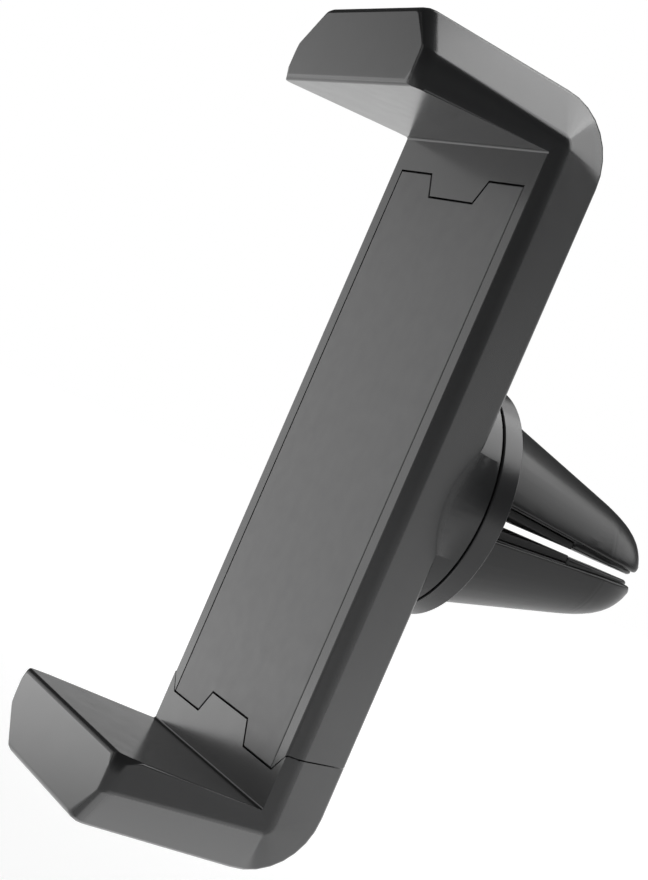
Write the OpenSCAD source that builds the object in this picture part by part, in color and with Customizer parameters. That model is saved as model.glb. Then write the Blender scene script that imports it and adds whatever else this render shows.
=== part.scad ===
// Air vent phone holder: a sprung clamp for a phone on a swivel, with a split
// clip that pushes over one blade of a car's air vent.
// Frame: +Z up along the clamp, -Y towards the phone, +Y towards the vent.
// Origin: the middle of the face that the back of the phone rests on.

/* [Clamp] */
// Closed distance between the two jaws, measured at the phone face
grip_span = 58; // [54:0.5:64]
// Width of the clamp
holder_w = 26; // [25:0.5:30]
// Depth of the body, from the phone face to its flat back
body_t = 7.65; // [7.4:0.05:8.6]
// Height of the straight side wall of the body, in front of the chamfer
side_t = 1.5; // [1:0.1:2]
// Width that each long chamfer takes off the back
chamfer_w = 3.6; // [3:0.1:3.9]
// Outer radius of the bend between the body and a jaw
bend_r = 6.3; // [5:0.1:6.8]
// Rounding between the chamfer and the back
edge_r = 1.1; // [0.6:0.1:1.4]
// Rounding between the side wall and the chamfer
side_r = 2.2; // [1:0.1:2.6]
// Wall left behind the blind holes of the pins
pin_wall = 0.6; // [0.5:0.05:0.8]

/* [Jaws] */
// Reach of the jaws in front of the phone face
jaw_reach = 13.8; // [10:0.2:18]
// Thickness of a jaw at its root
jaw_root_t = 6.05; // [5.6:0.05:6.6]
// Thickness of a jaw at its tip
jaw_tip_t = 7.05; // [6.2:0.05:7.6]
// How far the tip of a jaw leans over the phone
jaw_lean = 0.6; // [0.2:0.1:1.2]
// Height of the straight side wall at the root of a jaw
jaw_root_side = 1.7; // [1.2:0.1:2.2]
// Height of the straight side wall at the tip of a jaw
jaw_tip_side = 3.15; // [2.4:0.05:3.6]
// How far the rounding round the tip of a jaw draws in its end face
tip_r = 0.8; // [0.4:0.1:1]
// Length of that rounding along the jaw
tip_l = 1.4; // [0.8:0.1:1.8]
// Rounding of a jaw's inner edge at its tip
mouth_r = 0.5; // [0.3:0.1:0.8]
// Small chamfer along the front edges and the jaws' inner edges
front_edge = 0.3; // [0.1:0.05:0.5]
// Radius in the crease between the phone face and a jaw
crease_r = 0.2; // [0.1:0.05:0.6]

/* [Face plate] */
// Width of the face plate
plate_w = 22.6; // [21.6:0.1:23]
// Distance from each jaw to the end of the face plate
plate_end = 3.2; // [2.5:0.1:5]
// Thickness of the face plate
plate_t = 1.2; // [0.9:0.05:1.3]
// Width of the notch at each end of the plate, at its mouth
notch_w = 10.8; // [9:0.1:13]
// Width of the notch at its bottom
notch_end_w = 8.2; // [7:0.1:8.8]
// Depth of the notch
notch_h = 2.1; // [1.5:0.1:3]
// Open seam round the plate and at the parting line
seam = 0.12; // [0.08:0.01:0.2]
// Diameter of the pegs that hold the plate in the shell
peg_d = 1.2; // [0.9:0.1:1.2]
// Length of the pegs
peg_l = 1.5; // [1:0.1:2]
// Number of pegs along each side
peg_rows = 3; // [2:1:4]

/* [Slide] */
// Travel of the lower jaw
travel = 28; // [20:0.5:28]
// Height of the parting line above the lower edge of the plate
split_up = 1.7; // [1.2:0.1:2.2]
// Width of the slide tongue
tongue_w = 18.8; // [18:0.1:19.2]
// Thickness of the slide tongue
tongue_t = 3.4; // [3.2:0.05:3.5]
// Sliding clearance all round the tongue
slide_gap = 0.2; // [0.15:0.01:0.25]
// Floor of the jaw under the end of the face plate
lip_t = 1; // [0.8:0.05:1.1]
// Depth that the foot of the tongue goes into the jaw
foot_l = 7; // [5:0.1:7.5]
// Radius of the snap rib across the foot
snap_r = 0.35; // [0.25:0.05:0.4]
// Diameter of the stop pin
stop_d = 3; // [2:0.1:3.2]
// Bar of the tongue above its stop slot
stop_bar = 2.4; // [1.6:0.1:3]
// Free length of the channel past the tongue's upper end
channel_end = 1.5; // [1:0.1:2]

/* [Springs] */
// Outer diameter of each tension spring
spring_od = 2.8; // [2.4:0.1:2.8]
// Diameter of the spring wire
wire_d = 0.4; // [0.3:0.05:0.45]
// Whole turns of each spring
spring_turns = 24; // [16:1:28]
// Width of the tongue's leg outside each spring slot
side_leg = 1.8; // [1.4:0.1:2.4]
// Height of the hook pins above the parting line
hook_up = 11.9; // [11:0.1:13]
// Diameter of the pins that hold the spring loops
pin_d = 1.6; // [1.2:0.1:1.6]
// Clearance between a loop and its pin
loop_gap = 0.05; // [0.05:0.01:0.1]
// Length of a closed spring from pin to pin
spring_l = 32; // [28:0.5:33]

/* [Swivel] */
// Diameter of the round boss and of the clip disc
boss_d = 21.5; // [20:0.1:23]
// Height of the boss behind the body
boss_h = 1.65; // [1.5:0.05:2.4]
// End wall of the boss
boss_wall = 1.4; // [1.2:0.05:1.5]
// Diameter of the pocket inside the boss
pocket_d = 12.4; // [11.6:0.1:14]
// Diameter of the pivot screw's shoulder
shoulder_d = 5; // [4:0.1:5.6]
// Running clearance between the shoulder and its bush
run_gap = 0.05; // [0.03:0.01:0.08]
// Wall of the bush
bush_wall = 0.95; // [0.8:0.05:1.2]
// Thickness of the bush's flange
flange_t = 0.5; // [0.4:0.05:0.55]
// Thickness of the steel washer
washer_t = 0.3; // [0.25:0.05:0.35]
// Diameter of the washers and of the bush's flange
washer_d = 10.4; // [9.6:0.1:11]
// Free height of the wave washer
wave_h = 0.5; // [0.4:0.05:0.6]
// Thickness of the wave washer's strip
wave_t = 0.2; // [0.15:0.01:0.25]
// Thickness of the screw head
head_t = 1.2; // [1:0.05:1.25]
// Diameter of the screw head
head_d = 8; // [7:0.1:9]
// Gap between the boss and the clip disc
swivel_gap = 0.25; // [0.2:0.01:0.35]
// Outer diameter of the friction washer in that gap
friction_d = 18; // [15:0.5:19]

/* [Clip] */
// Thickness of the clip disc
disc_t = 2.05; // [1.8:0.05:2.6]
// Radius of the prongs where they meet the disc
cone_r = 9.3; // [8.5:0.1:10]
// Half angle of the prongs' taper
cone_angle = 14.2; // [12:0.1:15]
// Distance from the disc to the tip of the prongs
prong_l = 19.9; // [18:0.1:23]
// Length of the steeper nose of the prongs
nose_l = 5; // [4:0.1:6]
// Radius of the nose at its end, before rounding
nose_end = 3.3; // [2.8:0.1:3.8]
// Rounding at the end of the nose
nose_r = 1.2; // [0.8:0.1:1.4]
// Rounding of each prong's tip at the slot
prong_r = 1.4; // [1:0.1:1.6]
// Half of the slot at the disc, in the plastic
slot_root = 1.5; // [1.2:0.05:1.7]
// Half of the slot where the liners end, in the pockets
slot_mid = 0.95; // [0.85:0.05:1.1]
// Half of the slot just past the liners
slot_past = 0.46; // [0.4:0.01:0.6]
// Half of the slot at the tip
slot_tip = 0.27; // [0.22:0.01:0.36]
// Half of the opening between the prongs' outer edges at the disc
edge_root = 1.72; // [1.65:0.01:2]
// Half of that opening at the tip
edge_tip = 0.62; // [0.5:0.01:0.8]
// Depth of the step that runs along those edges
edge_depth = 0.55; // [0.3:0.05:0.8]
// Length of the rubber liners
liner_l = 10; // [8:0.1:12]
// Half of the gap between the liners at the disc
grip_root = 0.74; // [0.6:0.01:0.9]
// Half of the gap between the liners at their ends
grip_mid = 0.28; // [0.24:0.01:0.38]
// Half width of the web that joins the prongs
web_hw = 3.2; // [2.8:0.1:4]
// Height of that web above the disc
web_h = 3.6; // [3.5:0.1:4.5]
// Diameter of the thread in the clip
thread_d = 2.5; // [2:0.1:2.8]
// Outer diameter of the threaded insert
insert_d = 4.2; // [3.6:0.1:4.6]
// Length of the threaded insert
insert_l = 3.1; // [2.4:0.1:3.2]
// Distance of the disc's small screws from the middle
screw_r = 6.6; // [6.4:0.1:7]
// Diameter of the disc's small screws
screw_d = 1.6; // [1.4:0.1:1.8]
// Length of the disc's small screws
screw_l = 5.4; // [4:0.1:6]

/* [Hidden] */
$fn = 64;

// Small amounts: a working clearance, a seating clearance and a cutting overlap
fit_gap = 0.05;
seat_gap = 0.02;
over = 1;
bend_angle = 90;
bend_steps = 8;
tip_steps = 4;
round_steps = 5;
mouth_slope = 3;

// Clamp
half_w = holder_w / 2;
back_hw = half_w - chamfer_w;
half_span = grip_span / 2;
plate_l = grip_span - 2 * plate_end;
bend_y = body_t - bend_r;
side_bend_r = side_t / 2;
split_z = -(plate_l / 2 - split_up);

// Slide channel, from the underside of the plate to the wall behind it
channel_hw = tongue_w / 2 + slide_gap;
tongue_y0 = plate_t + slide_gap;
tongue_y1 = tongue_y0 + tongue_t;
channel_y1 = tongue_y1 + slide_gap;
tongue_hw = tongue_w / 2;
tongue_z0 = split_z + fit_gap;
hook_z = tongue_z0 + hook_up;
anchor_z = hook_z + spring_l;
tongue_z1 = anchor_z + pin_d + slide_gap;
channel_z1 = tongue_z1 + channel_end;
stop_z = tongue_z1 - stop_bar - travel - stop_d / 2;
spring_slot_w = spring_od + 2 * slide_gap;
spring_x = tongue_hw - side_leg - spring_slot_w / 2;
spring_y = (tongue_y0 + tongue_y1) / 2;
coil_r = (spring_od - wire_d) / 2;
loop_r = pin_d / 2 + wire_d / 2 + loop_gap;
lip_y0 = plate_t + slide_gap - fit_gap;
foot_y0 = lip_y0 + lip_t + fit_gap;

// Swivel stack, from the boss's end wall inwards
boss_y = body_t + boss_h;
pocket_y1 = boss_y - boss_wall;
bush_r = shoulder_d / 2 + run_gap + bush_wall;
flange_y0 = pocket_y1 - flange_t;
washer_y0 = flange_y0 - seat_gap - washer_t;
wave_y0 = washer_y0 - seat_gap - wave_h;
head_y1 = wave_y0 - seat_gap;
head_y0 = head_y1 - head_t;
disc_y0 = boss_y + swivel_gap;
disc_y1 = disc_y0 + disc_t;
insert_y0 = disc_y1 + fit_gap;
insert_y1 = insert_y0 + insert_l;
screw_angles = [90:120:330];

// Clip
tip_y = disc_y1 + prong_l;
nose_y = tip_y - nose_l;
nose_base = cone_r - (nose_y - disc_y1) * tan(cone_angle);
liner_y1 = disc_y1 + liner_l;
web_y = disc_y1 + web_h;
peg_x = (channel_hw + plate_w / 2) / 2;

// Shared outlines

// Points that round one corner of an outline
function unit(v) = v / norm(v);
function corner(p, a, b, r, n) =
    r <= 0 ? [p] :
    let(u = unit(a - p), v = unit(b - p), half = acos(u * v) / 2)
    let(c = p + unit(u + v) * r / sin(half))
    let(s = p + u * r / tan(half) - c, e = p + v * r / tan(half) - c)
    let(a0 = atan2(s.y, s.x), sweep = (atan2(e.y, e.x) - a0 + 540) % 360 - 180)
    [for (i = [0:n]) c + r * [cos(a0 + sweep * i / n), sin(a0 + sweep * i / n)]];
function rounded(pts, radii, n = round_steps) =
    let(k = len(pts))
    [for (i = [0:k - 1]) each corner(pts[i], pts[(i + k - 1) % k], pts[(i + 1) % k], radii[i], n)];

// Cross-section of the body, X across and Y from in front of the phone face to the back.
// Its front edges slope at 45 degrees, so that the cut at the phone face leaves a small chamfer.
function body_section() = rounded(
    [[-half_w + front_edge + over, -over], [half_w - front_edge - over, -over],
        [half_w, front_edge], [half_w, side_t], [back_hw, body_t], [-back_hw, body_t],
        [-half_w, side_t], [-half_w, front_edge]],
    [0, 0, 0, side_r, edge_r, edge_r, side_r, 0]);

// Height above a jaw's inner face that matches depth y in the body, at the root or the tip
function jaw_height(y, side, t) =
    y < side_t ? y * side / side_t : side + (y - side_t) * (t - side) / (body_t - side_t);
function root_height(y) = jaw_height(y, jaw_root_side, jaw_root_t);
function tip_height(y) = jaw_height(y, jaw_tip_side, jaw_tip_t) - jaw_lean;

// Section point p placed round the bend, at angle a from the body towards the jaw
function bend_point(p, a) =
    let(k = min(1, max(0, (half_w - abs(p.x)) / chamfer_w)), r = side_bend_r)
    let(cy = (1 - k) * (side_t - r) + k * bend_y)
    let(cz = half_span + (1 - k) * (jaw_root_side - r) + k * (jaw_root_t - bend_r))
    [p.x, cy + (p.y - cy) * cos(a), cz + (half_span + root_height(p.y) - cz) * sin(a)];

// Section point p placed on a jaw at a given reach, drawn in by inset
function jaw_point(p, reach, inset) =
    let(k = reach / jaw_reach, h = (1 - k) * root_height(p.y) + k * tip_height(p.y))
    let(mid = (jaw_tip_t - jaw_lean) / 2, draw = 1 - inset / mid)
    [p.x * (1 - inset / half_w), -reach, half_span + mid + (h - mid) * draw];

// All points of the block of one end: body, bend and jaw
function block_points(z_low) =
    let(section = body_section(), outer = [for (p = section) if (p.y > side_t / 2) p])
    concat(
        [for (p = section) [p.x, p.y, z_low]],
        [for (i = [0:bend_steps], p = outer) bend_point(p, bend_angle * i / bend_steps)],
        [for (p = section) jaw_point(p, jaw_reach - tip_l, 0)],
        [for (i = [1:tip_steps], p = section) let(a = bend_angle * i / tip_steps)
            jaw_point(p, jaw_reach - tip_l * (1 - sin(a)), tip_r * (1 - cos(a)))]);

// Outline of the face plate with a notch at each end, grown by g
function plate_outline(g) =
    let(hw = plate_w / 2 + g, hl = plate_l / 2 + g, mouth = notch_w / 2 - g)
    let(end = notch_end_w / 2 - g, floor_z = plate_l / 2 - notch_h + g)
    [[-hw, -hl], [-mouth, -hl], [-end, -floor_z], [end, -floor_z], [mouth, -hl], [hw, -hl],
        [hw, hl], [mouth, hl], [end, floor_z], [-end, floor_z], [-mouth, hl], [-hw, hl]];

// Shared shapes

// Upright slab: an outline in X and Z, from y0 to y1
module slab(y0, y1) {
    translate([0, y1, 0]) rotate([90, 0, 0]) linear_extrude(y1 - y0) children();
}

// Rod along Y
module rod_y(r, y0, y1) {
    translate([0, y0, 0]) rotate([-90, 0, 0]) cylinder(r = r, h = y1 - y0);
}

// Washer or tube along Y
module ring_y(r_out, r_in, y0, y1) {
    difference() {
        rod_y(r_out, y0, y1);
        rod_y(r_in, y0 - over, y1 + over);
    }
}

// Body, bend and jaw of one end as one block, before the phone space is cut
module jaw_block(z_low) {
    points = block_points(z_low);
    hull() polyhedron(points, [[for (i = [0:len(points) - 1]) i]]);
}

// Space that the phone takes between the jaws, with the jaws' lean, the creases and the
// rounding of the inner edges at the tips
module phone_space() {
    far = jaw_reach + over;
    lip = jaw_reach - mouth_r / mouth_slope;
    top = half_span - jaw_lean;
    flare = top + mouth_slope * (far - lip);
    outline = rounded(
        [[0, -half_span], [0, half_span], [-lip, top], [-far, flare], [-far, -flare], [-lip, -top]],
        [crease_r, crease_r, mouth_r, 0, 0, mouth_r]);
    translate([-half_w - over, 0, 0]) rotate([90, 0, 90])
        linear_extrude(holder_w + 2 * over) polygon(outline);
}

// Seat of the face plate, grown by the seam
module plate_seat(depth) {
    slab(-over, depth) polygon(plate_outline(seam));
}

// Corner of the rim that runs down beside the end of the plate, grown by g
module rim_corner(side, y0, y1, g) {
    inner = plate_w / 2 + seam;
    slab(y0, y1) polygon([
        [side * (inner - g), split_z + over], [side * (inner - g), -plate_l / 2 - g],
        [side * (inner + g), -plate_l / 2 - g], [side * half_w, split_z - g],
        [side * (half_w + over), split_z - g], [side * (half_w + over), split_z + over]]);
}

// All that lies below the parting line, in front of and behind the plate's underside
module below_parting() {
    low = -half_span - over;
    inner = plate_w / 2 + seam;
    translate([-half_w - over, plate_t, low]) cube([holder_w + 2 * over, 2 * body_t, split_z - low]);
    slab(-2 * over, plate_t) polygon([
        [-half_w - over, low], [half_w + over, low], [half_w + over, split_z],
        [half_w, split_z], [inner, -plate_l / 2], [inner, split_z], [-inner, split_z],
        [-inner, -plate_l / 2], [-half_w, split_z], [-half_w - over, split_z]]);
}

// Clip parts, held by the vent

// Solid of revolution that both prongs are cut from, made smaller all round by g
module prong_blank(g = 0) {
    rotate([-90, 0, 0]) rotate_extrude() polygon(rounded(
        [[0, disc_y1], [cone_r - g, disc_y1], [nose_base - g, nose_y], [nose_end - g, tip_y - g],
            [0, tip_y - g]],
        [0, 0, nose_l, nose_r, 0]));
}

// Half slot above the middle plane, as an outline in Y and Z that flares round the prong's tip
function half_slot(walls, tip) = concat(
    [[disc_y1, 0]], walls,
    [for (i = [0:round_steps]) let(a = bend_angle * i / round_steps)
        [tip_y - prong_r * (1 - sin(a)), tip + prong_r * (1 - cos(a))]],
    [[tip_y + over, tip + prong_r], [tip_y + over, 0]]);

// Prism along X from an outline in Y and Z
module across(hw, outline) {
    translate([-hw, 0, 0]) rotate([90, 0, 90]) linear_extrude(2 * hw) polygon(outline);
}

// The same prism above and below the middle plane
module across_both(hw, outline) {
    across(hw, outline);
    mirror([0, 0, 1]) across(hw, outline);
}

module clip_prongs() {
    slot = half_slot([[disc_y1, slot_root], [liner_y1, slot_mid], [liner_y1, slot_past]], slot_tip);
    step = half_slot([[disc_y1, edge_root]], edge_tip);
    color([0.13, 0.13, 0.14]) difference() {
        prong_blank();
        difference() {
            across_both(cone_r + over, slot);
            translate([-web_hw, disc_y1 - over, -slot_root - over])
                cube([2 * web_hw, web_h + over, 2 * (slot_root + over)]);
        }
        difference() {
            across_both(cone_r + over, step);
            prong_blank(edge_depth);
        }
        rod_y(insert_d / 2 + seat_gap, disc_y1 - over, insert_y1 + fit_gap);
        for (a = screw_angles) rotate([0, a, 0]) translate([screw_r, 0, 0])
            rod_y(screw_d / 2 + seat_gap, disc_y1 - over, disc_y0 + screw_l + 2 * fit_gap);
    }
}

// Rubber liner of the upper prong
module liner() {
    outline = [
        [disc_y1 + fit_gap, grip_root], [disc_y1 + fit_gap, slot_root - seat_gap],
        [liner_y1 - seat_gap, slot_mid - seat_gap], [liner_y1 - seat_gap, grip_mid]];
    difference() {
        intersection() {
            prong_blank(edge_depth);
            across(cone_r + over, outline);
        }
        translate([-web_hw - fit_gap, disc_y1 - over, 0])
            cube([2 * (web_hw + fit_gap), web_h + over + fit_gap, slot_root + over]);
    }
}

module upper_liner() {
    color([0.08, 0.08, 0.08]) liner();
}

module lower_liner() {
    color([0.08, 0.08, 0.08]) mirror([0, 0, 1]) liner();
}

module clip_disc() {
    sink_r = screw_d;
    color([0.18, 0.18, 0.19]) difference() {
        rod_y(boss_d / 2, disc_y0, disc_y1 - seat_gap);
        rod_y(shoulder_d / 2 + fit_gap, disc_y0 - over, disc_y1 + over);
        for (a = screw_angles) rotate([0, a, 0]) translate([screw_r, 0, 0]) {
            rod_y(screw_d / 2 + seat_gap, disc_y0 - over, disc_y1 + over);
            translate([0, disc_y0 - seat_gap, 0]) rotate([-90, 0, 0])
                cylinder(r1 = sink_r + seat_gap, r2 = screw_d / 2 + seat_gap, h = screw_d / 2);
        }
    }
}

module disc_screws() {
    color([0.6, 0.6, 0.62]) for (a = screw_angles) rotate([0, a, 0]) translate([screw_r, 0, 0]) {
        rod_y(screw_d / 2, disc_y0 + fit_gap, disc_y0 + screw_l);
        translate([0, disc_y0 + fit_gap, 0]) rotate([-90, 0, 0])
            cylinder(r1 = screw_d - fit_gap, r2 = screw_d / 2, h = screw_d / 2 - fit_gap);
    }
}

module threaded_insert() {
    color([0.75, 0.6, 0.3]) ring_y(insert_d / 2, thread_d / 2 + seat_gap, insert_y0, insert_y1);
}

module pivot_screw() {
    shank_y1 = disc_y1 - fit_gap;
    color([0.62, 0.62, 0.64]) difference() {
        union() {
            rod_y(head_d / 2, head_y0, head_y1);
            rod_y(shoulder_d / 2, head_y0, shank_y1);
            rod_y(thread_d / 2, head_y0, insert_y1 - fit_gap);
        }
        rod_y(thread_d / 2, head_y0 - over, head_y0 + head_t / 2, $fn = 6);
    }
}

// Wave washer: a flat strip bent into three waves round the screw
module wave_washer() {
    steps = 36;
    waves = 3;
    swing = (wave_h - wave_t) / 2;
    r_in = shoulder_d / 2 + fit_gap;
    r_out = washer_d / 2 - 4 * fit_gap;
    function lift(i) = wave_y0 + wave_h / 2 + swing * cos(waves * 360 * i / steps);
    function ring_point(i, r, dy) = [r * cos(360 * i / steps), lift(i) + dy,
        r * sin(360 * i / steps)];
    points = [for (i = [0:steps - 1]) each [
        ring_point(i, r_in, -wave_t / 2), ring_point(i, r_out, -wave_t / 2),
        ring_point(i, r_out, wave_t / 2), ring_point(i, r_in, wave_t / 2)]];
    faces = [for (i = [0:steps - 1], k = [0:3])
        let(j = (i + 1) % steps, m = (k + 1) % 4)
        each [[4 * i + k, 4 * j + k, 4 * j + m], [4 * i + k, 4 * j + m, 4 * i + m]]];
    color([0.7, 0.7, 0.72]) polyhedron(points, faces);
}

module pivot_washer() {
    color([0.7, 0.7, 0.72])
        ring_y(washer_d / 2, shoulder_d / 2 + fit_gap, washer_y0, washer_y0 + washer_t);
}

// Holder parts, which turn on the clip

module main_shell() {
    color([0.2, 0.2, 0.21]) difference() {
        union() {
            jaw_block(-half_span);
            rod_y(boss_d / 2, side_t, boss_y);
        }
        phone_space();
        below_parting();
        plate_seat(plate_t);
        translate([-channel_hw, 0, split_z - over])
            cube([2 * channel_hw, channel_y1, channel_z1 - split_z + over]);
        rod_y(pocket_d / 2, channel_y1 - over, pocket_y1);
        rod_y(bush_r + seat_gap, pocket_y1 - over, boss_y + over);
        translate([0, 0, stop_z]) rod_y(stop_d / 2 + seat_gap, channel_y1 - over, body_t - pin_wall);
        for (side = [-1, 1]) {
            translate([side * spring_x, 0, anchor_z])
                rod_y(pin_d / 2 + seat_gap, channel_y1 - over, body_t - pin_wall);
            for (i = [0:peg_rows - 1]) translate([side * peg_x, 0, peg_height(i)])
                rod_y(peg_d / 2 + fit_gap, plate_t - over, plate_t + peg_l + 2 * fit_gap);
        }
    }
}

// Height of each row of pegs
function peg_height(i) = (i / (peg_rows - 1) - 0.5) * (plate_l - 4 * notch_h);

module face_plate() {
    color([0.32, 0.32, 0.33]) {
        slab(0, plate_t) polygon(plate_outline(0));
        for (side = [-1, 1], i = [0:peg_rows - 1]) translate([side * peg_x, 0, peg_height(i)])
            rod_y(peg_d / 2, plate_t / 2, plate_t + peg_l);
    }
}

module swivel_bush() {
    color([0.9, 0.9, 0.88]) difference() {
        union() {
            rod_y(washer_d / 2, flange_y0, pocket_y1 - seat_gap);
            rod_y(bush_r, flange_y0, boss_y);
        }
        rod_y(shoulder_d / 2 + run_gap, flange_y0 - over, boss_y + over);
    }
}

module friction_washer() {
    color([0.05, 0.05, 0.05])
        ring_y(friction_d / 2, bush_r, boss_y + seat_gap, disc_y0 - seat_gap);
}

module anchor_pins() {
    color([0.7, 0.7, 0.72]) for (side = [-1, 1]) translate([side * spring_x, 0, anchor_z])
        rod_y(pin_d / 2, tongue_y0, body_t - pin_wall - fit_gap);
}

module stop_pin() {
    color([0.7, 0.7, 0.72]) translate([0, 0, stop_z])
        rod_y(stop_d / 2, tongue_y0, body_t - pin_wall - fit_gap);
}

// Tension spring along Z: a loop round the hook pin, the coil, a loop round the anchor pin
module tension_spring() {
    sides = 5;
    turn_steps = 9;
    loop_steps = 8;
    loop_open = 40;
    z0 = hook_z + loop_r;
    z1 = anchor_z - loop_r;
    whole = 360 * spring_turns + 90;
    coil_steps = ceil(whole / 360 * turn_steps);
    function loop_angle(i) = (360 - loop_open) * i / loop_steps;
    path = concat(
        [for (i = [loop_steps:-1:1]) let(a = -loop_angle(i))
            [[coil_r, loop_r * sin(a), z0 - loop_r + loop_r * cos(a)],
                [0, cos(a), -sin(a)], [1, 0, 0]]],
        [for (i = [0:coil_steps]) let(a = whole * i / coil_steps)
            [[coil_r * cos(a), coil_r * sin(a), z0 + (z1 - z0) * i / coil_steps],
                unit([-sin(a), cos(a), (z1 - z0) / (whole * PI / 180 * coil_r)]),
                [cos(a), sin(a), 0]]],
        [for (i = [1:loop_steps]) let(a = loop_angle(i))
            [[-loop_r * sin(a), coil_r, z1 + loop_r - loop_r * cos(a)],
                [-cos(a), 0, sin(a)], [0, 1, 0]]]);
    count = len(path);
    points = [for (s = path, k = [0:sides - 1])
        let(b = cross(s[1], s[2]), a = 360 * k / sides)
        s[0] + wire_d / 2 * (s[2] * cos(a) + b * sin(a))];
    walls = [for (i = [0:count - 2], k = [0:sides - 1])
        let(m = (k + 1) % sides, p = i * sides, q = (i + 1) * sides)
        each [[p + k, q + m, p + m], [p + k, q + k, q + m]]];
    first_cap = [for (k = [0:sides - 1]) k];
    last_cap = [for (k = [sides - 1:-1:0]) (count - 1) * sides + k];
    translate([0, spring_y, 0]) polyhedron(points, concat(walls, [first_cap, last_cap]));
}

module spring_left() {
    color([0.75, 0.75, 0.77]) translate([-spring_x, 0, 0]) tension_spring();
}

module spring_right() {
    color([0.75, 0.75, 0.77]) translate([spring_x, 0, 0]) tension_spring();
}

// Jaw parts, which slide out of the holder

module lower_jaw() {
    top_z = split_z - seam;
    pocket_hw = tongue_hw + fit_gap;
    tab_hw = (notch_w + notch_end_w) / 4;
    tab_up = notch_h - split_up;
    color([0.2, 0.2, 0.21]) difference() {
        union() {
            mirror([0, 0, 1]) jaw_block(-top_z);
            slab(0, plate_t) polygon([[-tab_hw, top_z - over], [tab_hw, top_z - over],
                [tab_hw, top_z + tab_up], [-tab_hw, top_z + tab_up]]);
        }
        phone_space();
        plate_seat(lip_y0);
        for (side = [-1, 1]) rim_corner(side, -over, lip_y0, seam);
        translate([-pocket_hw, foot_y0 - fit_gap, tongue_z0 - foot_l - fit_gap])
            cube([2 * pocket_hw, tongue_y1 - foot_y0 + 2 * fit_gap, foot_l + over]);
        translate([-pocket_hw, tongue_y1, tongue_z0 - foot_l / 2]) rotate([0, 90, 0])
            cylinder(r = snap_r + fit_gap, h = 2 * pocket_hw, $fn = 24);
    }
}

module slide_tongue() {
    stop_z1 = tongue_z1 - stop_bar;
    slot_z0 = hook_z - loop_r - spring_od / 2;
    color([0.85, 0.85, 0.82]) difference() {
        union() {
            slab(tongue_y0, tongue_y1) polygon([[-tongue_hw, tongue_z0], [tongue_hw, tongue_z0],
                [tongue_hw, tongue_z1], [-tongue_hw, tongue_z1]]);
            slab(foot_y0, tongue_y1) polygon([[-tongue_hw, tongue_z0 - foot_l],
                [tongue_hw, tongue_z0 - foot_l], [tongue_hw, tongue_z0 + over],
                [-tongue_hw, tongue_z0 + over]]);
            translate([-tongue_hw + over, tongue_y1, tongue_z0 - foot_l / 2]) rotate([0, 90, 0])
                cylinder(r = snap_r, h = 2 * (tongue_hw - over), $fn = 24);
        }
        for (side = [-1, 1]) {
            translate([side * spring_x - spring_slot_w / 2, 0, slot_z0])
                cube([spring_slot_w, body_t, tongue_z1 + over - slot_z0]);
            translate([side * spring_x, spring_y, hook_z]) rotate([0, 90, 0])
                cylinder(r = pin_d / 2 + seat_gap, h = spring_slot_w + pin_d + 2 * fit_gap,
                    center = true);
        }
        slab(0, body_t) polygon([[-stop_d / 2 - slide_gap, stop_z - stop_d / 2 - slide_gap],
            [stop_d / 2 + slide_gap, stop_z - stop_d / 2 - slide_gap],
            [stop_d / 2 + slide_gap, stop_z1], [-stop_d / 2 - slide_gap, stop_z1]]);
    }
}

module hook_pins() {
    color([0.7, 0.7, 0.72]) for (side = [-1, 1]) translate([side * spring_x, spring_y, hook_z])
        rotate([0, 90, 0]) cylinder(r = pin_d / 2, h = spring_slot_w + pin_d, center = true);
}

clip_prongs();
upper_liner();
lower_liner();
clip_disc();
disc_screws();
threaded_insert();
pivot_screw();
wave_washer();
pivot_washer();
main_shell();
face_plate();
swivel_bush();
friction_washer();
anchor_pins();
stop_pin();
spring_left();
spring_right();
lower_jaw();
slide_tongue();
hook_pins();
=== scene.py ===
"""Air vent phone holder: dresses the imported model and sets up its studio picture."""

import logging
import math
from dataclasses import dataclass
from enum import Enum
from typing import Callable

import bmesh
import bpy
from mathutils import Matrix, Vector


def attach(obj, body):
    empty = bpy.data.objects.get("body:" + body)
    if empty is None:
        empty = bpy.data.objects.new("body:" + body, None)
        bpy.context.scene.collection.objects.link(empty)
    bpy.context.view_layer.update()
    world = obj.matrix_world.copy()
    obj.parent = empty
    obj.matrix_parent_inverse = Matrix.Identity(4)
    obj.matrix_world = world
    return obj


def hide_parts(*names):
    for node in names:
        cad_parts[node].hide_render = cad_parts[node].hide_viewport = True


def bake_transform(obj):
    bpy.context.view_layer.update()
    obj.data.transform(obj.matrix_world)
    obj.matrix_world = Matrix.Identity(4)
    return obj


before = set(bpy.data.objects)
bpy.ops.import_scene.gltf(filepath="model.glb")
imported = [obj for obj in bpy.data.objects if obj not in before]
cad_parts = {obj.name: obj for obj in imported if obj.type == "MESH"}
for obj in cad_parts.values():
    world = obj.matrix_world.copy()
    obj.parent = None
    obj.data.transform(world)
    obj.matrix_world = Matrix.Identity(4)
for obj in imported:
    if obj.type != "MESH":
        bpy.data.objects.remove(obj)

log = logging.getLogger("vent_holder")
Colour = tuple[float, float, float]

# Sizes of the pieces are in millimetres, those of the studio in metres, and angles in degrees.
MM = 0.001
FULL_TURN = 360.0
EDGE_LAYER = "edge"

MERGE_DISTANCE = 0.002 * MM
CUT_DISTANCE = 0.001 * MM
FLAT_ANGLE = 0.6
SMOOTH_ANGLE = 40.0
WIRE_SMOOTH_ANGLE = 60.0

NODE_PITCH = 190
MIX_FACTOR, MIX_FIRST, MIX_SECOND, MIX_RESULT = 0, 6, 7, 2
NOISE_LOW, NOISE_HIGH = 0.3, 0.7

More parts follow.
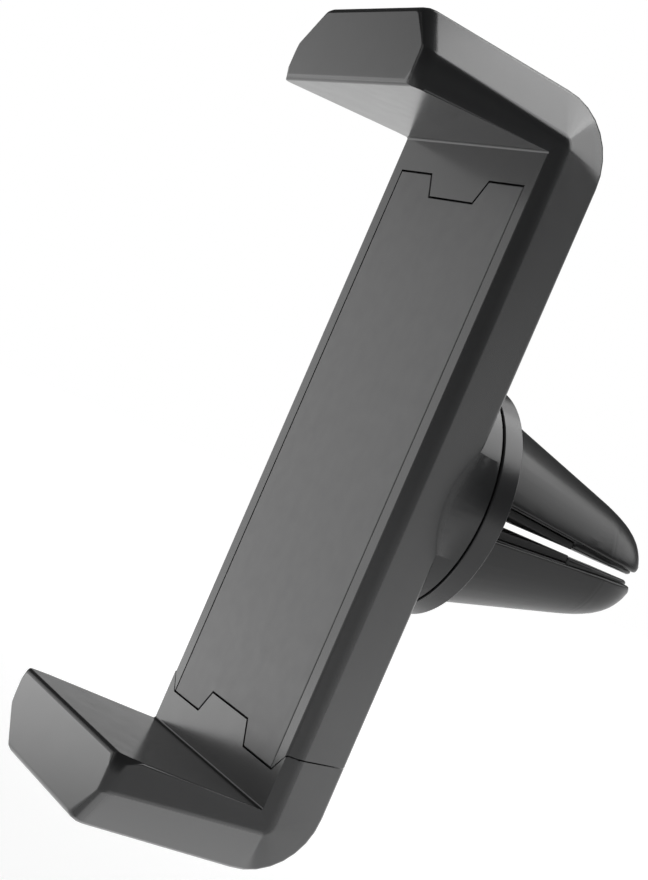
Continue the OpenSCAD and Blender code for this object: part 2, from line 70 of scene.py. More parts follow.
MOTTLE_SCALE = 160.0
SHEEN_SCALE = 420.0
# Scale and range of the noise that breaks up the highlight painted on rounded edges.
EDGE_HIGHLIGHT_SCALE = 700.0
EDGE_HIGHLIGHT_RANGE = (0.55, 1.0)
STAIN_SCALE = 500.0
STAIN_RANGE = (0.88, 1.06)
TURNING_SCALE = 4200.0
GRAIN_DEPTH = 0.02 * MM
TURNING_DEPTH = 0.01 * MM


class Slot(Enum):
    """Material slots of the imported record."""

    SHELL = "shell"
    PLATE = "plate"
    PRONG = "prong"
    DISC = "disc"
    LINER = "liner"
    ACETAL = "acetal"
    STEEL = "steel"
    SPRING = "spring_steel"
    BRASS = "brass"
    FRICTION = "friction"


class Body(Enum):
    """Bodies that the pieces ride on."""

    CLIP = "clip"
    HOLDER = "holder"
    JAW = "jaw"


class Tree:
    """Shader node tree that places, sets and links nodes in short calls."""

    def __init__(self, tree: bpy.types.NodeTree) -> None:
        """Keeps the tree and starts with nothing placed."""
        self.tree = tree
        self.column = 0

    def add(self, kind: str, **settings: object) -> bpy.types.Node:
        """Places a node and sets its properties.

        Args:
            kind: Blender's name of the node type.
            settings: properties of the node by name.

        Returns:
            The new node.
        """
        node = self.tree.nodes.new(kind)
        node.location = (self.column * NODE_PITCH, 0)
        self.column += 1
        for key, value in settings.items():
            setattr(node, key, value)
        return node

    def feed(self, node: bpy.types.Node, **values: object) -> bpy.types.Node:
        """Sets or links inputs of a node, named with underscores for spaces.

        Args:
            node: the node whose inputs are fed.
            values: a socket to link, or a number, colour or vector to set.

        Returns:
            The same node.
        """
        for key, value in values.items():
            socket = node.inputs[key.replace("_", " ")]
            if isinstance(value, bpy.types.NodeSocket):
                self.tree.links.new(value, socket)
            else:
                socket.default_value = value
        return node

    def maths(self, operation: str, a: object, b: object = 0.0) -> bpy.types.NodeSocket:
        """Adds a Math node.

        Args:
            operation: name of the operation.
            a: first number or socket.
            b: second number or socket.

        Returns:
            The result's socket.
        """
        node = self.add("ShaderNodeMath", operation=operation)
        for socket, value in zip(node.inputs, (a, b)):
            if isinstance(value, bpy.types.NodeSocket):
                self.tree.links.new(value, socket)
            else:
                socket.default_value = value
        return node.outputs[0]

    def mix(self, factor: object, a: object, b: object) -> bpy.types.NodeSocket:
        """Mixes two colours.

        Args:
            factor: share of the second colour, as a number or socket.
            a: first colour or socket.
            b: second colour or socket.

        Returns:
            The mixed colour's socket.
        """
        node = self.add("ShaderNodeMix", data_type="RGBA")
        for index, value in ((MIX_FACTOR, factor), (MIX_FIRST, a), (MIX_SECOND, b)):
            if isinstance(value, bpy.types.NodeSocket):
                self.tree.links.new(value, node.inputs[index])
            else:
                node.inputs[index].default_value = value
        return node.outputs[MIX_RESULT]

    def spread(self, value: bpy.types.NodeSocket, low: object,
               high: object) -> bpy.types.NodeSocket:
        """Maps the middle of a noise value to a range.

        Args:
            value: socket with a noise value.
            low: result where the noise is low.
            high: result where the noise is high.

        Returns:
            The mapped value's socket.
        """
        node = self.add("ShaderNodeMapRange")
        self.feed(node, Value=value, From_Min=NOISE_LOW, From_Max=NOISE_HIGH, To_Min=low,
                  To_Max=high)
        return node.outputs[0]

    def around(self, value: bpy.types.NodeSocket, middle: object,
               by: object) -> bpy.types.NodeSocket:
        """Maps the middle of a noise value to a range to both sides of a level.

        Args:
            value: socket with a noise value.
            middle: level in the middle of the range.
            by: distance from there to each end.

        Returns:
            The mapped value's socket.
        """
        return self.spread(value, self.maths("SUBTRACT", middle, by),
                           self.maths("ADD", middle, by))

    def noise(self, scale: object, detail: float,
              coords: bpy.types.NodeSocket) -> bpy.types.NodeSocket:
        """Adds a Noise texture.

        Args:
            scale: noise scale, as a number or socket.
            detail: octaves of detail.
            coords: socket with coordinates.

        Returns:
            The noise value's socket.
        """
        node = self.add("ShaderNodeTexNoise")
        self.feed(node, Vector=coords, Scale=scale, Detail=detail)
        return node.outputs[0]


def new_group(name: str, inputs: dict[str, object], outputs: dict[str, str]) -> tuple[
        bpy.types.NodeTree, Tree, bpy.types.Node, bpy.types.Node]:
    """Makes an empty shader node group with named sockets.

    Args:
        name: name of the group.
        inputs: default value of each input by name.
        outputs: "Float" or "Color" for each output by name.

    Returns:
        The group, its tree helper, its input node and its output node.
    """
    group = bpy.data.node_groups.new(name, "ShaderNodeTree")
    for key, default in inputs.items():
        kind = "Color" if isinstance(default, tuple) else "Float"
        socket = group.interface.new_socket(key, in_out="INPUT", socket_type="NodeSocket" + kind)
        socket.default_value = default
    for key, kind in outputs.items():
        group.interface.new_socket(key, in_out="OUTPUT", socket_type="NodeSocket" + kind)
    tree = Tree(group)
    return group, tree, tree.add("NodeGroupInput"), tree.add("NodeGroupOutput")


def moulded_grain_group() -> bpy.types.NodeTree:
    """Fine spark-eroded grain and slow mottling of a moulding.

    Returns:
        A group that puts out a colour, a roughness and a height.
    """
    group, tree, source, sink = new_group(
        "moulded_grain",
        {"Colour": (0.02, 0.02, 0.02, 1.0), "Mottle": 0.1, "Roughness": 0.4, "Spread": 0.05,
         "Grain": 9000.0},
        {"Colour": "Color", "Roughness": "Float", "Height": "Float"})
    coords = tree.add("ShaderNodeTexCoord").outputs["Object"]
    slow = tree.noise(MOTTLE_SCALE, 3.0, coords)
    grain = tree.noise(source.outputs["Grain"], 2.0, coords)
    lighter = tree.add("ShaderNodeHueSaturation")
    value = tree.around(slow, 1.0, source.outputs["Mottle"])
    tree.feed(lighter, Color=source.outputs["Colour"], Value=value)
    rough = tree.around(tree.noise(SHEEN_SCALE, 4.0, coords), source.outputs["Roughness"],
                        source.outputs["Spread"])
    tree.feed(sink, Colour=lighter.outputs[0], Roughness=rough, Height=grain)
    return group


def painted_edge_highlight_group() -> bpy.types.NodeTree:
    """Rounded edges painted lighter as a highlight and given a smoother finish, broken up by
    noise.

    Returns:
        A group that puts out a colour and a roughness.
    """
    group, tree, source, sink = new_group(
        "painted_edge_highlight",
        {"Colour": (0.02, 0.02, 0.02, 1.0), "Edge Colour": (0.05, 0.05, 0.05, 1.0),
         "Roughness": 0.4, "Edge Roughness": 0.3, "Amount": 0.5},
        {"Colour": "Color", "Roughness": "Float"})
    mark = tree.add("ShaderNodeAttribute", attribute_name=EDGE_LAYER)
    coords = tree.add("ShaderNodeTexCoord").outputs["Object"]
    broken = tree.spread(tree.noise(EDGE_HIGHLIGHT_SCALE, 3.0, coords), *EDGE_HIGHLIGHT_RANGE)
    mask = tree.maths("MULTIPLY", tree.maths("MULTIPLY", mark.outputs["Fac"], broken),
                      source.outputs["Amount"])
    # Painted highlight: the marked rounded edges take the lighter edge colour.
    colour = tree.mix(mask, source.outputs["Colour"], source.outputs["Edge Colour"])
    change = tree.maths("SUBTRACT", source.outputs["Edge Roughness"], source.outputs["Roughness"])
    rough = tree.maths("ADD", source.outputs["Roughness"], tree.maths("MULTIPLY", change, mask))
    tree.feed(sink, Colour=colour, Roughness=rough)
    return group


def turned_metal_group() -> bpy.types.NodeTree:
    """Fine turning marks round an axis along Y, with slight staining.

    Returns:
        A group that puts out a colour, a roughness and a height.
    """
    group, tree, source, sink = new_group(
        "turned_metal",
        {"Colour": (0.6, 0.6, 0.6, 1.0), "Roughness": 0.3, "Spread": 0.08},
        {"Colour": "Color", "Roughness": "Float", "Height": "Float"})
    coords = tree.add("ShaderNodeTexCoord").outputs["Object"]
    rings = tree.add("ShaderNodeTexWave", wave_type="RINGS", rings_direction="Y")
    tree.feed(rings, Vector=coords, Scale=TURNING_SCALE, Distortion=1.5, Detail=2.0)
    stain = tree.noise(STAIN_SCALE, 4.0, coords)
    colour = tree.add("ShaderNodeHueSaturation")
    tree.feed(colour, Color=source.outputs["Colour"], Value=tree.spread(stain, *STAIN_RANGE))
    rough = tree.around(stain, source.outputs["Roughness"], source.outputs["Spread"])
    tree.feed(sink, Colour=colour.outputs[0], Roughness=rough, Height=rings.outputs["Fac"])
    return group


GROUPS: dict[str, bpy.types.NodeTree] = {}


def use_group(tree: Tree, make: Callable[[], bpy.types.NodeTree],
              **values: object) -> bpy.types.Node:
    """Places a shared node group, which is built the first time it is used.

    Args:
        tree: tree of the material.
        make: function that builds the group.
        values: inputs of the group, named with underscores for spaces.

    Returns:
        The group node.
    """
    key = make.__name__
    if key not in GROUPS:
        GROUPS[key] = make()
    node = tree.add("ShaderNodeGroup", node_tree=GROUPS[key])
    return tree.feed(node, **values)


def opaque(colour: Colour) -> tuple[float, float, float, float]:
    """Adds full alpha to a colour."""
    return (*colour, 1.0)


@dataclass(frozen=True)
class MouldedPlastic:
    """Satin injection-moulded plastic or rubber with a fine grain and a highlight painted on its
    rounded edges.
    """

    name: str
    colour: Colour
    # Lighter colour painted on the rounded edges as a highlight.
    edge_highlight_colour: Colour
    roughness: float
    edge_roughness: float = 0.25
    spread: float = 0.012
    mottle: float = 0.04
    grain: float = 9000.0
    bump: float = 0.06
    specular: float = 0.5
    edge_amount: float = 0.5

    def build(self) -> bpy.types.Material:
        """Makes the material.

        Returns:
            The new material.
        """
        material = bpy.data.materials.new(self.name)
        material.use_nodes = True
        material.node_tree.nodes.clear()
        tree = Tree(material.node_tree)
        grain = use_group(tree, moulded_grain_group, Colour=opaque(self.colour),
                          Mottle=self.mottle, Roughness=self.roughness, Spread=self.spread,
                          Grain=self.grain)
        edge = use_group(tree, painted_edge_highlight_group, Colour=grain.outputs["Colour"],
                         Edge_Colour=opaque(self.edge_highlight_colour),
                         Roughness=grain.outputs["Roughness"],
                         Edge_Roughness=self.edge_roughness, Amount=self.edge_amount)
        bump = tree.feed(tree.add("ShaderNodeBump"), Height=grain.outputs["Height"],
                         Strength=self.bump, Distance=GRAIN_DEPTH)
        shader = tree.add("ShaderNodeBsdfPrincipled")
        tree.feed(shader, Base_Color=edge.outputs["Colour"], Roughness=edge.outputs["Roughness"],
                  Normal=bump.outputs[0], Specular_IOR_Level=self.specular)
        tree.feed(tree.add("ShaderNodeOutputMaterial"), Surface=shader.outputs[0])
        return material


@dataclass(frozen=True)
class TurnedMetal:
    """Machined or drawn metal."""

    name: str
    colour: Colour
    roughness: float
    spread: float = 0.08
    bump: float = 0.05

    def build(self) -> bpy.types.Material:
        """Makes the material.

        Returns:
            The new material.
        """
        material = bpy.data.materials.new(self.name)
        material.use_nodes = True
        material.node_tree.nodes.clear()
        tree = Tree(material.node_tree)
        turned = use_group(tree, turned_metal_group, Colour=opaque(self.colour),
                           Roughness=self.roughness, Spread=self.spread)
        bump = tree.feed(tree.add("ShaderNodeBump"), Height=turned.outputs["Height"],
                         Strength=self.bump, Distance=TURNING_DEPTH)
        shader = tree.add("ShaderNodeBsdfPrincipled")
        tree.feed(shader, Base_Color=turned.outputs["Colour"],
                  Roughness=turned.outputs["Roughness"], Normal=bump.outputs[0], Metallic=1.0)
        tree.feed(tree.add("ShaderNodeOutputMaterial"), Surface=shader.outputs[0])
        return material


Finish = MouldedPlastic | TurnedMetal

# The second colour of each moulded finish is the highlight painted on its rounded edges.
FINISHES: dict[Slot, Finish] = {
    Slot.SHELL: MouldedPlastic("charcoal_shell", (0.021, 0.0214, 0.022), (0.03, 0.03, 0.031), 0.22,
                               edge_roughness=0.2, specular=0.42),
    Slot.PLATE: MouldedPlastic("charcoal_plate", (0.058, 0.0588, 0.0598), (0.075, 0.075, 0.075),
                               0.4, spread=0.01, mottle=0.02, grain=7000.0, bump=0.1),
    Slot.PRONG: MouldedPlastic("black_prong", (0.008, 0.0082, 0.0085), (0.014, 0.014, 0.014), 0.3,
                               specular=0.28),
    Slot.DISC: MouldedPlastic("black_disc", (0.02, 0.0204, 0.021), (0.028, 0.028, 0.029), 0.27,
                              specular=0.44),
    Slot.LINER: MouldedPlastic("black_rubber", (0.008, 0.008, 0.008), (0.012, 0.012, 0.012), 0.7,
                               edge_roughness=0.6, mottle=0.15, grain=5000.0, bump=0.25,
                               specular=0.3),
    Slot.ACETAL: MouldedPlastic("white_acetal", (0.72, 0.72, 0.7), (0.78, 0.78, 0.76), 0.38,
                                mottle=0.03),
    Slot.STEEL: TurnedMetal("turned_steel", (0.58, 0.58, 0.6), 0.28),
    Slot.SPRING: TurnedMetal("spring_wire", (0.55, 0.55, 0.57), 0.24, bump=0.02),
    Slot.BRASS: TurnedMetal("turned_brass", (0.72, 0.52, 0.24), 0.26),
    Slot.FRICTION: MouldedPlastic("friction_fibre", (0.01, 0.01, 0.01), (0.012, 0.012, 0.012), 0.8,
                                  edge_roughness=0.75, mottle=0.2, grain=3000.0, bump=0.4,
                                  specular=0.2),
}


class Finisher:
    """Gives each slot one material, made the first time it is asked for."""

    def __init__(self) -> None:
        """Starts with no material made."""
        self.made: dict[Slot, bpy.types.Material] = {}

    def material(self, slot: Slot) -> bpy.types.Material:
        """Looks up or makes the material of a slot.

        Args:
            slot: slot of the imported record.

        Returns:
            The slot's material.
        """
        if slot not in self.made:
            self.made[slot] = FINISHES[slot].build()
        return self.made[slot]

    def dress(self, piece: bpy.types.Object, slot: Slot) -> None:
        """Gives a piece or a CAD node the material of a slot."""
        piece.data.materials.clear()
        piece.data.materials.append(self.material(slot))


def place(bm: bmesh.types.BMesh, name: str,
          smooth_angle: float = SMOOTH_ANGLE) -> bpy.types.Object:
    """Turns a bmesh into an object at the origin with smooth shading.

    Args:
        bm: finished mesh in the row frame, in metres, which is freed.
        name: name of the piece.
        smooth_angle: angle in degrees above which an edge stays sharp.

    Returns:
        The new object.
    """
    bm.normal_update()
    for face in bm.faces:
        face.smooth = True
    for edge in bm.edges:
        edge.smooth = edge.is_manifold and edge.calc_face_angle(0.0) < math.radians(smooth_angle)
    mesh = bpy.data.meshes.new(name)
    bm.to_mesh(mesh)
    bm.free()
    piece = bpy.data.objects.new(name, mesh)
    bpy.context.scene.collection.objects.link(piece)
    return piece


@dataclass
class RoundedNode:
    """Copy of a CAD node whose sharp outer edges are rounded."""

    node: str
    name: str
    body: Body
    slot: Slot
    radius: float = 0.25
    segments: int = 3
    sharp_angle: float = 24.0

    def build(self, finisher: Finisher) -> bpy.types.Object:
        """Copies, merges and rounds the node, and dresses the copy.

        Args:
            finisher: source of the materials.

        Returns:
            The new piece, which rides on its body in place of the node.
        """
        bm = bmesh.new()
        bm.from_mesh(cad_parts[self.node].data)
        bmesh.ops.remove_doubles(bm, verts=bm.verts, dist=MERGE_DISTANCE)
        bmesh.ops.dissolve_limit(bm, angle_limit=math.radians(FLAT_ANGLE), verts=bm.verts,
                                 edges=bm.edges, use_dissolve_boundaries=False)
        bm.normal_update()
        self.round_edges(bm)
        piece = place(bm, self.name)
        weighted = piece.modifiers.new("flat faces", "WEIGHTED_NORMAL")
        weighted.keep_sharp = True
        finisher.dress(piece, self.slot)
        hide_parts(self.node)
        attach(piece, self.body.value)
        return piece

    def round_edges(self, bm: bmesh.types.BMesh) -> None:
        """Bevels the sharp edges and marks the rounded corners in the edge layer, where the
        materials paint a highlight.

        Args:
            bm: merged mesh of the node.
        """
        layer = bm.verts.layers.float.new(EDGE_LAYER)
        sharp = [edge for edge in bm.edges if self.wants(edge) and edge.is_manifold
                 and edge.calc_face_angle_signed(0.0) > math.radians(self.sharp_angle)]
        result = bmesh.ops.bevel(bm, geom=sharp, offset=self.radius * MM, offset_type="OFFSET",
                                 affect="EDGES", segments=self.segments, profile=0.5, material=-1,
                                 clamp_overlap=False)
        for face in result["faces"]:
            for vert in face.verts:
                vert[layer] = 1.0

    def wants(self, edge: bmesh.types.BMEdge) -> bool:
        """Tells whether an edge is among those that get rounded."""
        return True


@dataclass
class OuterEdges(RoundedNode):
    """Copy of a shell or jaw of which only long edges on the outside are rounded."""

    side_x: float = 12.0
    back_y: float = 7.5
    arm_y: float = 1.0
    grip_z: float = 28.3
    min_length: float = 3.0

    def wants(self, edge: bmesh.types.BMEdge) -> bool:
        """Tells whether an edge is long and lies at a side, at the back or on an arm.

        Args:
            edge: sharp edge of the merged mesh.

        Returns:
            True where the edge gets rounded.
        """
        if edge.calc_length() < self.min_length * MM:
            return False
        ends = [vert.co / MM for vert in edge.verts]
        arm = all(abs(end.z) > self.grip_z and end.y < self.arm_y for end in ends)
        side = all(abs(end.x) > self.side_x for end in ends)
        back = all(end.y > self.back_y for end in ends)
        return arm or (self.body is not Body.JAW and (side or back))


@dataclass
class ProngPair(RoundedNode):
    """Copy of the prongs whose cone runs into its tip in one smooth curve."""

    root_y: float = 11.6
    root_r: float = 9.3
    cone_slope: float = 0.253
    curve_y: float = 24.0
    tip_y: float = 31.5
    tip_drop: float = 2.0
    power: float = 4.0
    cuts: int = 15
    ring_width: float = 0.01

    def round_edges(self, bm: bmesh.types.BMesh) -> None:
        """Rounds the sharp edges and then curves the nose.

        Args:
            bm: merged mesh of the node.
        """
        super().round_edges(bm)
        levels = [self.curve_y + index * (self.tip_y - self.curve_y) / self.cuts
                  for index in range(self.cuts + 1)]
        for level in levels[:-1]:
            bmesh.ops.bisect_plane(bm, geom=[*bm.verts, *bm.edges, *bm.faces],
                                   dist=CUT_DISTANCE, plane_co=(0, level * MM, 0),
                                   plane_no=(0, 1, 0))
        scales = [self.profile(level) / self.reach(bm, level) for level in levels]
        for vert in bm.verts:
            along = (vert.co.y / MM - self.curve_y) / (self.tip_y - self.curve_y) * self.cuts
            if along <= 0:
                continue
            index = min(int(along), self.cuts - 1)
            share = along - index
            scale = scales[index] * (1 - share) + scales[index + 1] * share
            vert.co.x *= scale
            vert.co.z *= scale

    def profile(self, y: float) -> float:
        """Radius of the smooth nose at a place along its axis.

        Args:
            y: the place, in millimetres.

        Returns:
            The radius in millimetres.
        """
        share = min(1.0, (y - self.curve_y) / (self.tip_y - self.curve_y))
        return (self.root_r - self.cone_slope * (y - self.root_y)
                - self.tip_drop * (1.0 - math.sqrt(1.0 - share ** self.power)))

    def reach(self, bm: bmesh.types.BMesh, y: float) -> float:
        """Largest radius of the copied node at a place along its axis.

        Args:
            bm: mesh with a ring of points at that place.
            y: the place, in millimetres.

        Returns:
            The radius in millimetres.
        """
        return max(math.hypot(vert.co.x, vert.co.z) / MM for vert in bm.verts
                   if abs(vert.co.y / MM - y) < self.ring_width)


@dataclass
class TensionSpring:
    """Round-wire tension spring between a hook pin and an anchor pin."""

    node: str
    name: str
    side: int
    axis_x: float = 6.0
    axis_y: float = 3.1
    wire_r: float = 0.2
    coil_r: float = 1.2
    loop_r: float = 1.05
    hook_z: float = -12.15
    anchor_z: float = 19.85
    turns: float = 24.25
    loop_turn: float = 320.0
    sides: int = 8
    steps: int = 20

    def build(self, finisher: Finisher) -> bpy.types.Object:
        """Spins the coil and its two loops from one ring of the wire.

        Args:
            finisher: source of the materials.

        Returns:
            The new piece, which stretches between the holder and the jaw.
        """
        axis = Vector((self.side * self.axis_x, self.axis_y, 0.0))
        low, high = self.hook_z + self.loop_r, self.anchor_z - self.loop_r
        turn = self.turns * FULL_TURN
        steps = round(turn / FULL_TURN * self.steps)
        bm = bmesh.new()
        place_ring = (Matrix.Translation(axis + Vector((self.coil_r, 0, low)))
                      @ Matrix.Rotation(math.radians(90), 4, "X"))
        ring = bmesh.ops.create_circle(bm, cap_ends=False, segments=self.sides,
                                       radius=self.wire_r, matrix=place_ring)["verts"]
        first = list({edge for vert in ring for edge in vert.link_edges})
        coil = bmesh.ops.spin(bm, geom=first, cent=axis, axis=(0, 0, 1),
                              angle=math.radians(turn), steps=steps,
                              dvec=(0, 0, (high - low) / steps))
        last = [item for item in coil["geom_last"] if isinstance(item, bmesh.types.BMEdge)]
        top = axis + Vector((0, self.coil_r, self.anchor_z))
        bmesh.ops.spin(bm, geom=last, cent=top, axis=(0, 1, 0),
                       angle=-math.radians(self.loop_turn), steps=self.steps, dvec=(0, 0, 0))
        base = axis + Vector((self.coil_r, 0, self.hook_z))
        bmesh.ops.spin(bm, geom=first, cent=base, axis=(1, 0, 0),
                       angle=math.radians(self.loop_turn), steps=self.steps, dvec=(0, 0, 0))
        bmesh.ops.holes_fill(bm, edges=[edge for edge in bm.edges if edge.is_boundary], sides=0)
        bmesh.ops.recalc_face_normals(bm, faces=bm.faces)
        bmesh.ops.scale(bm, vec=(MM, MM, MM), verts=bm.verts)
        piece = place(bm, self.name, WIRE_SMOOTH_ANGLE)
        finisher.dress(piece, Slot.SPRING)
        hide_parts(self.node)
        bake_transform(piece)
        return piece


class Assembly:
    """Sub-assembly whose pieces are made in order."""

    def parts(self) -> tuple[RoundedNode | TensionSpring, ...]:
        """Names the pieces, each with its sizes, its body and its slot."""
        raise NotImplementedError

    def build(self, finisher: Finisher) -> list[bpy.types.Object]:
        """Makes and dresses the pieces.

        Args:
            finisher: source of the materials.

        Returns:
            The new pieces, in order.
        """
        return [part.build(finisher) for part in self.parts()]


@dataclass
class Holder(Assembly):
    """Main shell with its face plate."""

    shell_radius: float = 0.22
    plate_radius: float = 0.1

    def parts(self) -> tuple[RoundedNode, ...]:
        """Names the shell and the plate."""
        return (
            OuterEdges("main_shell", "shell_body", Body.HOLDER, Slot.SHELL, self.shell_radius),
            RoundedNode("face_plate", "plate_face", Body.HOLDER, Slot.PLATE, self.plate_radius))


@dataclass
class SlidingJaw(Assembly):
    """Lower jaw on its slide tongue."""

    jaw_radius: float = 0.22
    tongue_radius: float = 0.12

    def parts(self) -> tuple[RoundedNode, ...]:
        """Names the jaw and the tongue."""
        return (
            OuterEdges("lower_jaw", "jaw_body", Body.JAW, Slot.SHELL, self.jaw_radius),
            RoundedNode("slide_tongue", "slide_bar", Body.JAW, Slot.ACETAL, self.tongue_radius))


@dataclass
class VentClip(Assembly):
    """Disc, prongs and rubber liners that grip the vent's blade."""

    disc_radius: float = 0.15
    prong_radius: float = 0.22
    liner_radius: float = 0.1

    def parts(self) -> tuple[RoundedNode, ...]:
        """Names the disc, the prongs and the liners."""
        return (
            RoundedNode("clip_disc", "swivel_disc", Body.CLIP, Slot.DISC, self.disc_radius),
            ProngPair("clip_prongs", "vent_prongs", Body.CLIP, Slot.PRONG, self.prong_radius),
            RoundedNode("upper_liner", "liner_top", Body.CLIP, Slot.LINER, self.liner_radius),
            RoundedNode("lower_liner", "liner_base", Body.CLIP, Slot.LINER, self.liner_radius))


@dataclass
class SpringPair(Assembly):
    """The two springs that pull the jaw shut, one in each slot of the tongue."""

    left_side: int = -1
    right_side: int = 1

    def parts(self) -> tuple[TensionSpring, ...]:
        """Names the left and the right spring."""
        return (TensionSpring("spring_left", "coil_left", self.left_side),
                TensionSpring("spring_right", "coil_right", self.right_side))


@dataclass(frozen=True)
class Softbox:
    """Rectangular lamp described by how bright its face is beside white paper."""

    name: str
    place: tuple[float, float, float]
    size: tuple[float, float]
    brightness: float
    facing: tuple[float, float, float] | None = None

    def build(self, target: Vector) -> None:
        """Makes the lamp, turned towards a point unless it faces a way of its own.

        Args:
            target: point that the lamp faces.
        """
        data = bpy.data.lights.new(self.name, "AREA")
        data.shape = "RECTANGLE"
        data.size, data.size_y = self.size
        data.energy = self.brightness * math.pi * self.size[0] * self.size[1]
        lamp = bpy.data.objects.new(self.name, data)
        lamp.location = self.place
        aim = Vector(self.facing) if self.facing else target - Vector(self.place)
        lamp.rotation_mode = "QUATERNION"
        lamp.rotation_quaternion = aim.to_track_quat("-Z", "Y")
        lamp.visible_camera = False
        bpy.context.scene.collection.objects.link(lamp)


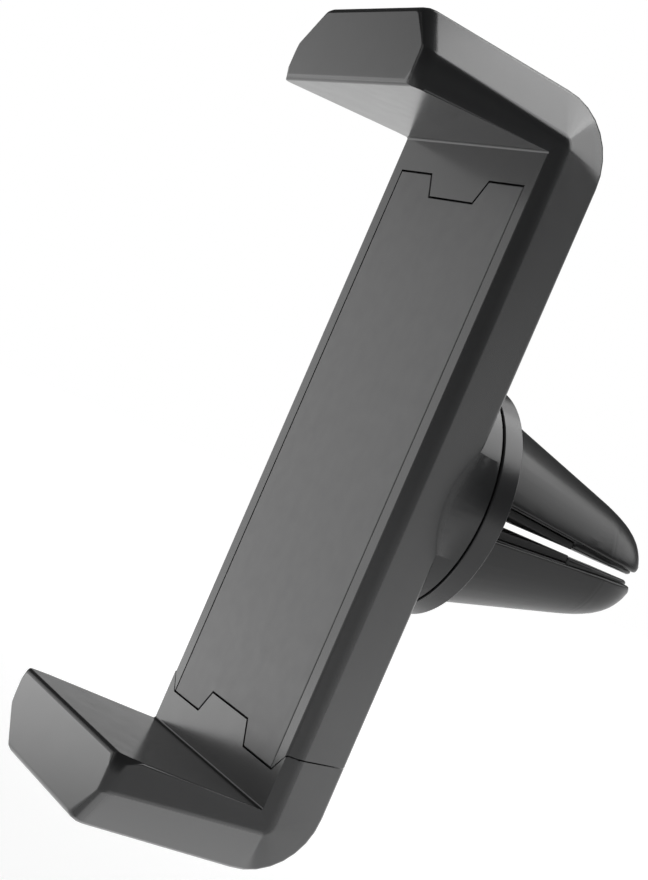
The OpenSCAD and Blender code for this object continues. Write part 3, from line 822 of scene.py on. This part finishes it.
@dataclass(frozen=True)
class Studio:
    """Camera, lamps, white sheet behind and below, and the dim room in front."""

    camera_at: tuple[float, float, float] = (0.16449, -0.082247, -0.000587)
    forward: tuple[float, float, float] = (-0.89848, 0.43898, 0.00554)
    up: tuple[float, float, float] = (-0.17089, -0.36134, 0.91664)
    lens: float = 87.32
    sensor: float = 36.0
    seen_from: float = 0.01
    seen_to: float = 20.0
    ambient: float = 0.3
    room: float = 0.22
    sheet_edge: tuple[float, float] = (0.1, 0.6)
    sheet_top: tuple[float, float] = (0.0, 0.25)
    above_sheet: float = 0.04
    floor_z: float = -0.075
    floor_size: float = 3.0
    floor_colour: Colour = (0.8, 0.8, 0.8)
    floor_glow: float = 0.25
    floor_fade: tuple[float, float] = (0.12, 0.7)
    far_extra: float = 0.02
    lamps: tuple[Softbox, ...] = (
        Softbox("back top", (0.08, 0.290, 0.461), (0.5, 0.26), 4.2),
        Softbox("back low", (0.04, 0.475, 0.275), (0.34, 0.27), 2.3),
        Softbox("left top", (-0.24, 0.242, 0.43), (0.2, 0.25), 1.7),
        Softbox("front left", (-0.30, -0.15, 0.02), (0.15, 0.2), 0.62),
        Softbox("front low", (-0.2, -0.1, -0.058), (0.1, 0.032), 1.0),
        Softbox("front fill", (-0.15, -0.55, 0.25), (0.4, 0.4), 0.9),
        Softbox("table", (0.02, 0.008, -0.074), (0.09, 0.055), 1.2, (0.0, 0.0, 1.0)),
    )

    def build(self) -> None:
        """Makes everything round the object."""
        self.make_camera()
        self.make_world()
        self.make_floor()
        for lamp in self.lamps:
            lamp.build(Vector((0, 0, 0)))
        view = bpy.context.scene.view_settings
        view.view_transform = "Standard"

    def make_camera(self) -> None:
        """Places the camera at the photograph's viewing angle."""
        data = bpy.data.cameras.new("camera")
        data.lens = self.lens
        data.sensor_width = self.sensor
        data.clip_start, data.clip_end = self.seen_from, self.seen_to
        camera = bpy.data.objects.new("camera", data)
        ahead, up = Vector(self.forward).normalized(), Vector(self.up)
        right = ahead.cross(up).normalized()
        up = right.cross(ahead)
        camera.matrix_world = Matrix.Translation(self.camera_at) @ Matrix(
            (right, up, -ahead)).transposed().to_4x4()
        bpy.context.scene.collection.objects.link(camera)
        bpy.context.scene.camera = camera

    def make_world(self) -> None:
        """Makes surroundings that look white, and that gloss sees as a sheet in a dim room."""
        world = bpy.data.worlds.new("surroundings")
        world.use_nodes = True
        world.node_tree.nodes.clear()
        tree = Tree(world.node_tree)
        path = tree.add("ShaderNodeLightPath")
        ray = tree.add("ShaderNodeTexCoord").outputs["Generated"]
        along = tree.add("ShaderNodeVectorMath", operation="DOT_PRODUCT")
        tree.tree.links.new(ray, along.inputs[0])
        along.inputs[1].default_value = self.forward
        height = tree.add("ShaderNodeSeparateXYZ")
        tree.tree.links.new(ray, height.inputs[0])
        sheet = self.ramp(tree, along.outputs["Value"], *self.sheet_edge, self.room, 1.0)
        lower = self.ramp(tree, height.outputs["Z"], *self.sheet_top, 1.0, self.above_sheet)
        mirrored = tree.maths("MULTIPLY", sheet, lower)
        either = tree.maths("MAXIMUM", path.outputs["Is Glossy Ray"],
                            path.outputs["Is Transmission Ray"])
        unlit = tree.maths("SUBTRACT", 1.0, tree.maths("MAXIMUM", either,
                                                       path.outputs["Is Camera Ray"]))
        strength = tree.maths("ADD", tree.maths("ADD", path.outputs["Is Camera Ray"],
                                                tree.maths("MULTIPLY", either, mirrored)),
                              tree.maths("MULTIPLY", unlit, self.ambient))
        shader = tree.feed(tree.add("ShaderNodeBackground"), Color=(1, 1, 1, 1),
                           Strength=strength)
        tree.feed(tree.add("ShaderNodeOutputWorld"), Surface=shader.outputs[0])
        bpy.context.scene.world = world

    def make_floor(self) -> None:
        """Makes a plain pale floor that looks white and keeps a soft shadow."""
        bm = bmesh.new()
        bmesh.ops.create_grid(bm, x_segments=1, y_segments=1, size=self.floor_size,
                              matrix=Matrix.Translation((0, 0, self.floor_z)))
        floor = place(bm, "floor")
        material = bpy.data.materials.new("white_floor")
        material.use_nodes = True
        material.node_tree.nodes.clear()
        tree = Tree(material.node_tree)
        path = tree.add("ShaderNodeLightPath")
        seen = tree.maths("MAXIMUM", tree.maths("MAXIMUM", path.outputs["Is Camera Ray"],
                                                path.outputs["Is Glossy Ray"]),
                          path.outputs["Is Transmission Ray"])
        distance = tree.add("ShaderNodeVectorMath", operation="LENGTH")
        tree.tree.links.new(tree.add("ShaderNodeTexCoord").outputs["Object"], distance.inputs[0])
        far = self.ramp(tree, distance.outputs["Value"], *self.floor_fade, self.floor_glow,
                        1.0 - self.floor_colour[0] * self.ambient + self.far_extra)
        matt = tree.feed(tree.add("ShaderNodeBsdfDiffuse"), Color=opaque(self.floor_colour))
        glow = tree.feed(tree.add("ShaderNodeEmission"), Color=(1, 1, 1, 1),
                         Strength=tree.maths("MULTIPLY", seen, far))
        both = tree.add("ShaderNodeAddShader")
        tree.tree.links.new(matt.outputs[0], both.inputs[0])
        tree.tree.links.new(glow.outputs[0], both.inputs[1])
        tree.feed(tree.add("ShaderNodeOutputMaterial"), Surface=both.outputs[0])
        floor.data.materials.append(material)

    @staticmethod
    def ramp(tree: Tree, value: bpy.types.NodeSocket, start: float, end: float, low: float,
             high: float) -> bpy.types.NodeSocket:
        """Turns a value smoothly from one level to another.

        Args:
            tree: tree that gets the node.
            value: socket that is followed.
            start: value up to which the result is low.
            end: value from which the result is high.
            low: first level.
            high: second level.

        Returns:
            The result's socket.
        """
        node = tree.add("ShaderNodeMapRange", interpolation_type="SMOOTHSTEP")
        tree.feed(node, Value=value, From_Min=start, From_Max=end, To_Min=low, To_Max=high)
        return node.outputs[0]


BARE_NODES: dict[str, Slot] = {
    "disc_screws": Slot.STEEL,
    "threaded_insert": Slot.BRASS,
    "pivot_screw": Slot.STEEL,
    "wave_washer": Slot.STEEL,
    "pivot_washer": Slot.STEEL,
    "swivel_bush": Slot.ACETAL,
    "friction_washer": Slot.FRICTION,
    "anchor_pins": Slot.STEEL,
    "stop_pin": Slot.STEEL,
    "hook_pins": Slot.STEEL,
}


def main() -> None:
    """Builds the pieces in order."""
    logging.basicConfig(level=logging.INFO, format="%(name)s: %(message)s")
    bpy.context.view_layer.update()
    finisher = Finisher()
    Studio().build()
    log.info("set up the studio")
    for assembly in (Holder(), SlidingJaw(), VentClip(), SpringPair()):
        for piece in assembly.build(finisher):
            log.info("made %s", piece.name)
    for node, slot in BARE_NODES.items():
        finisher.dress(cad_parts[node], slot)
        log.info("dressed %s", node)


if __name__ == "__main__":
    main()
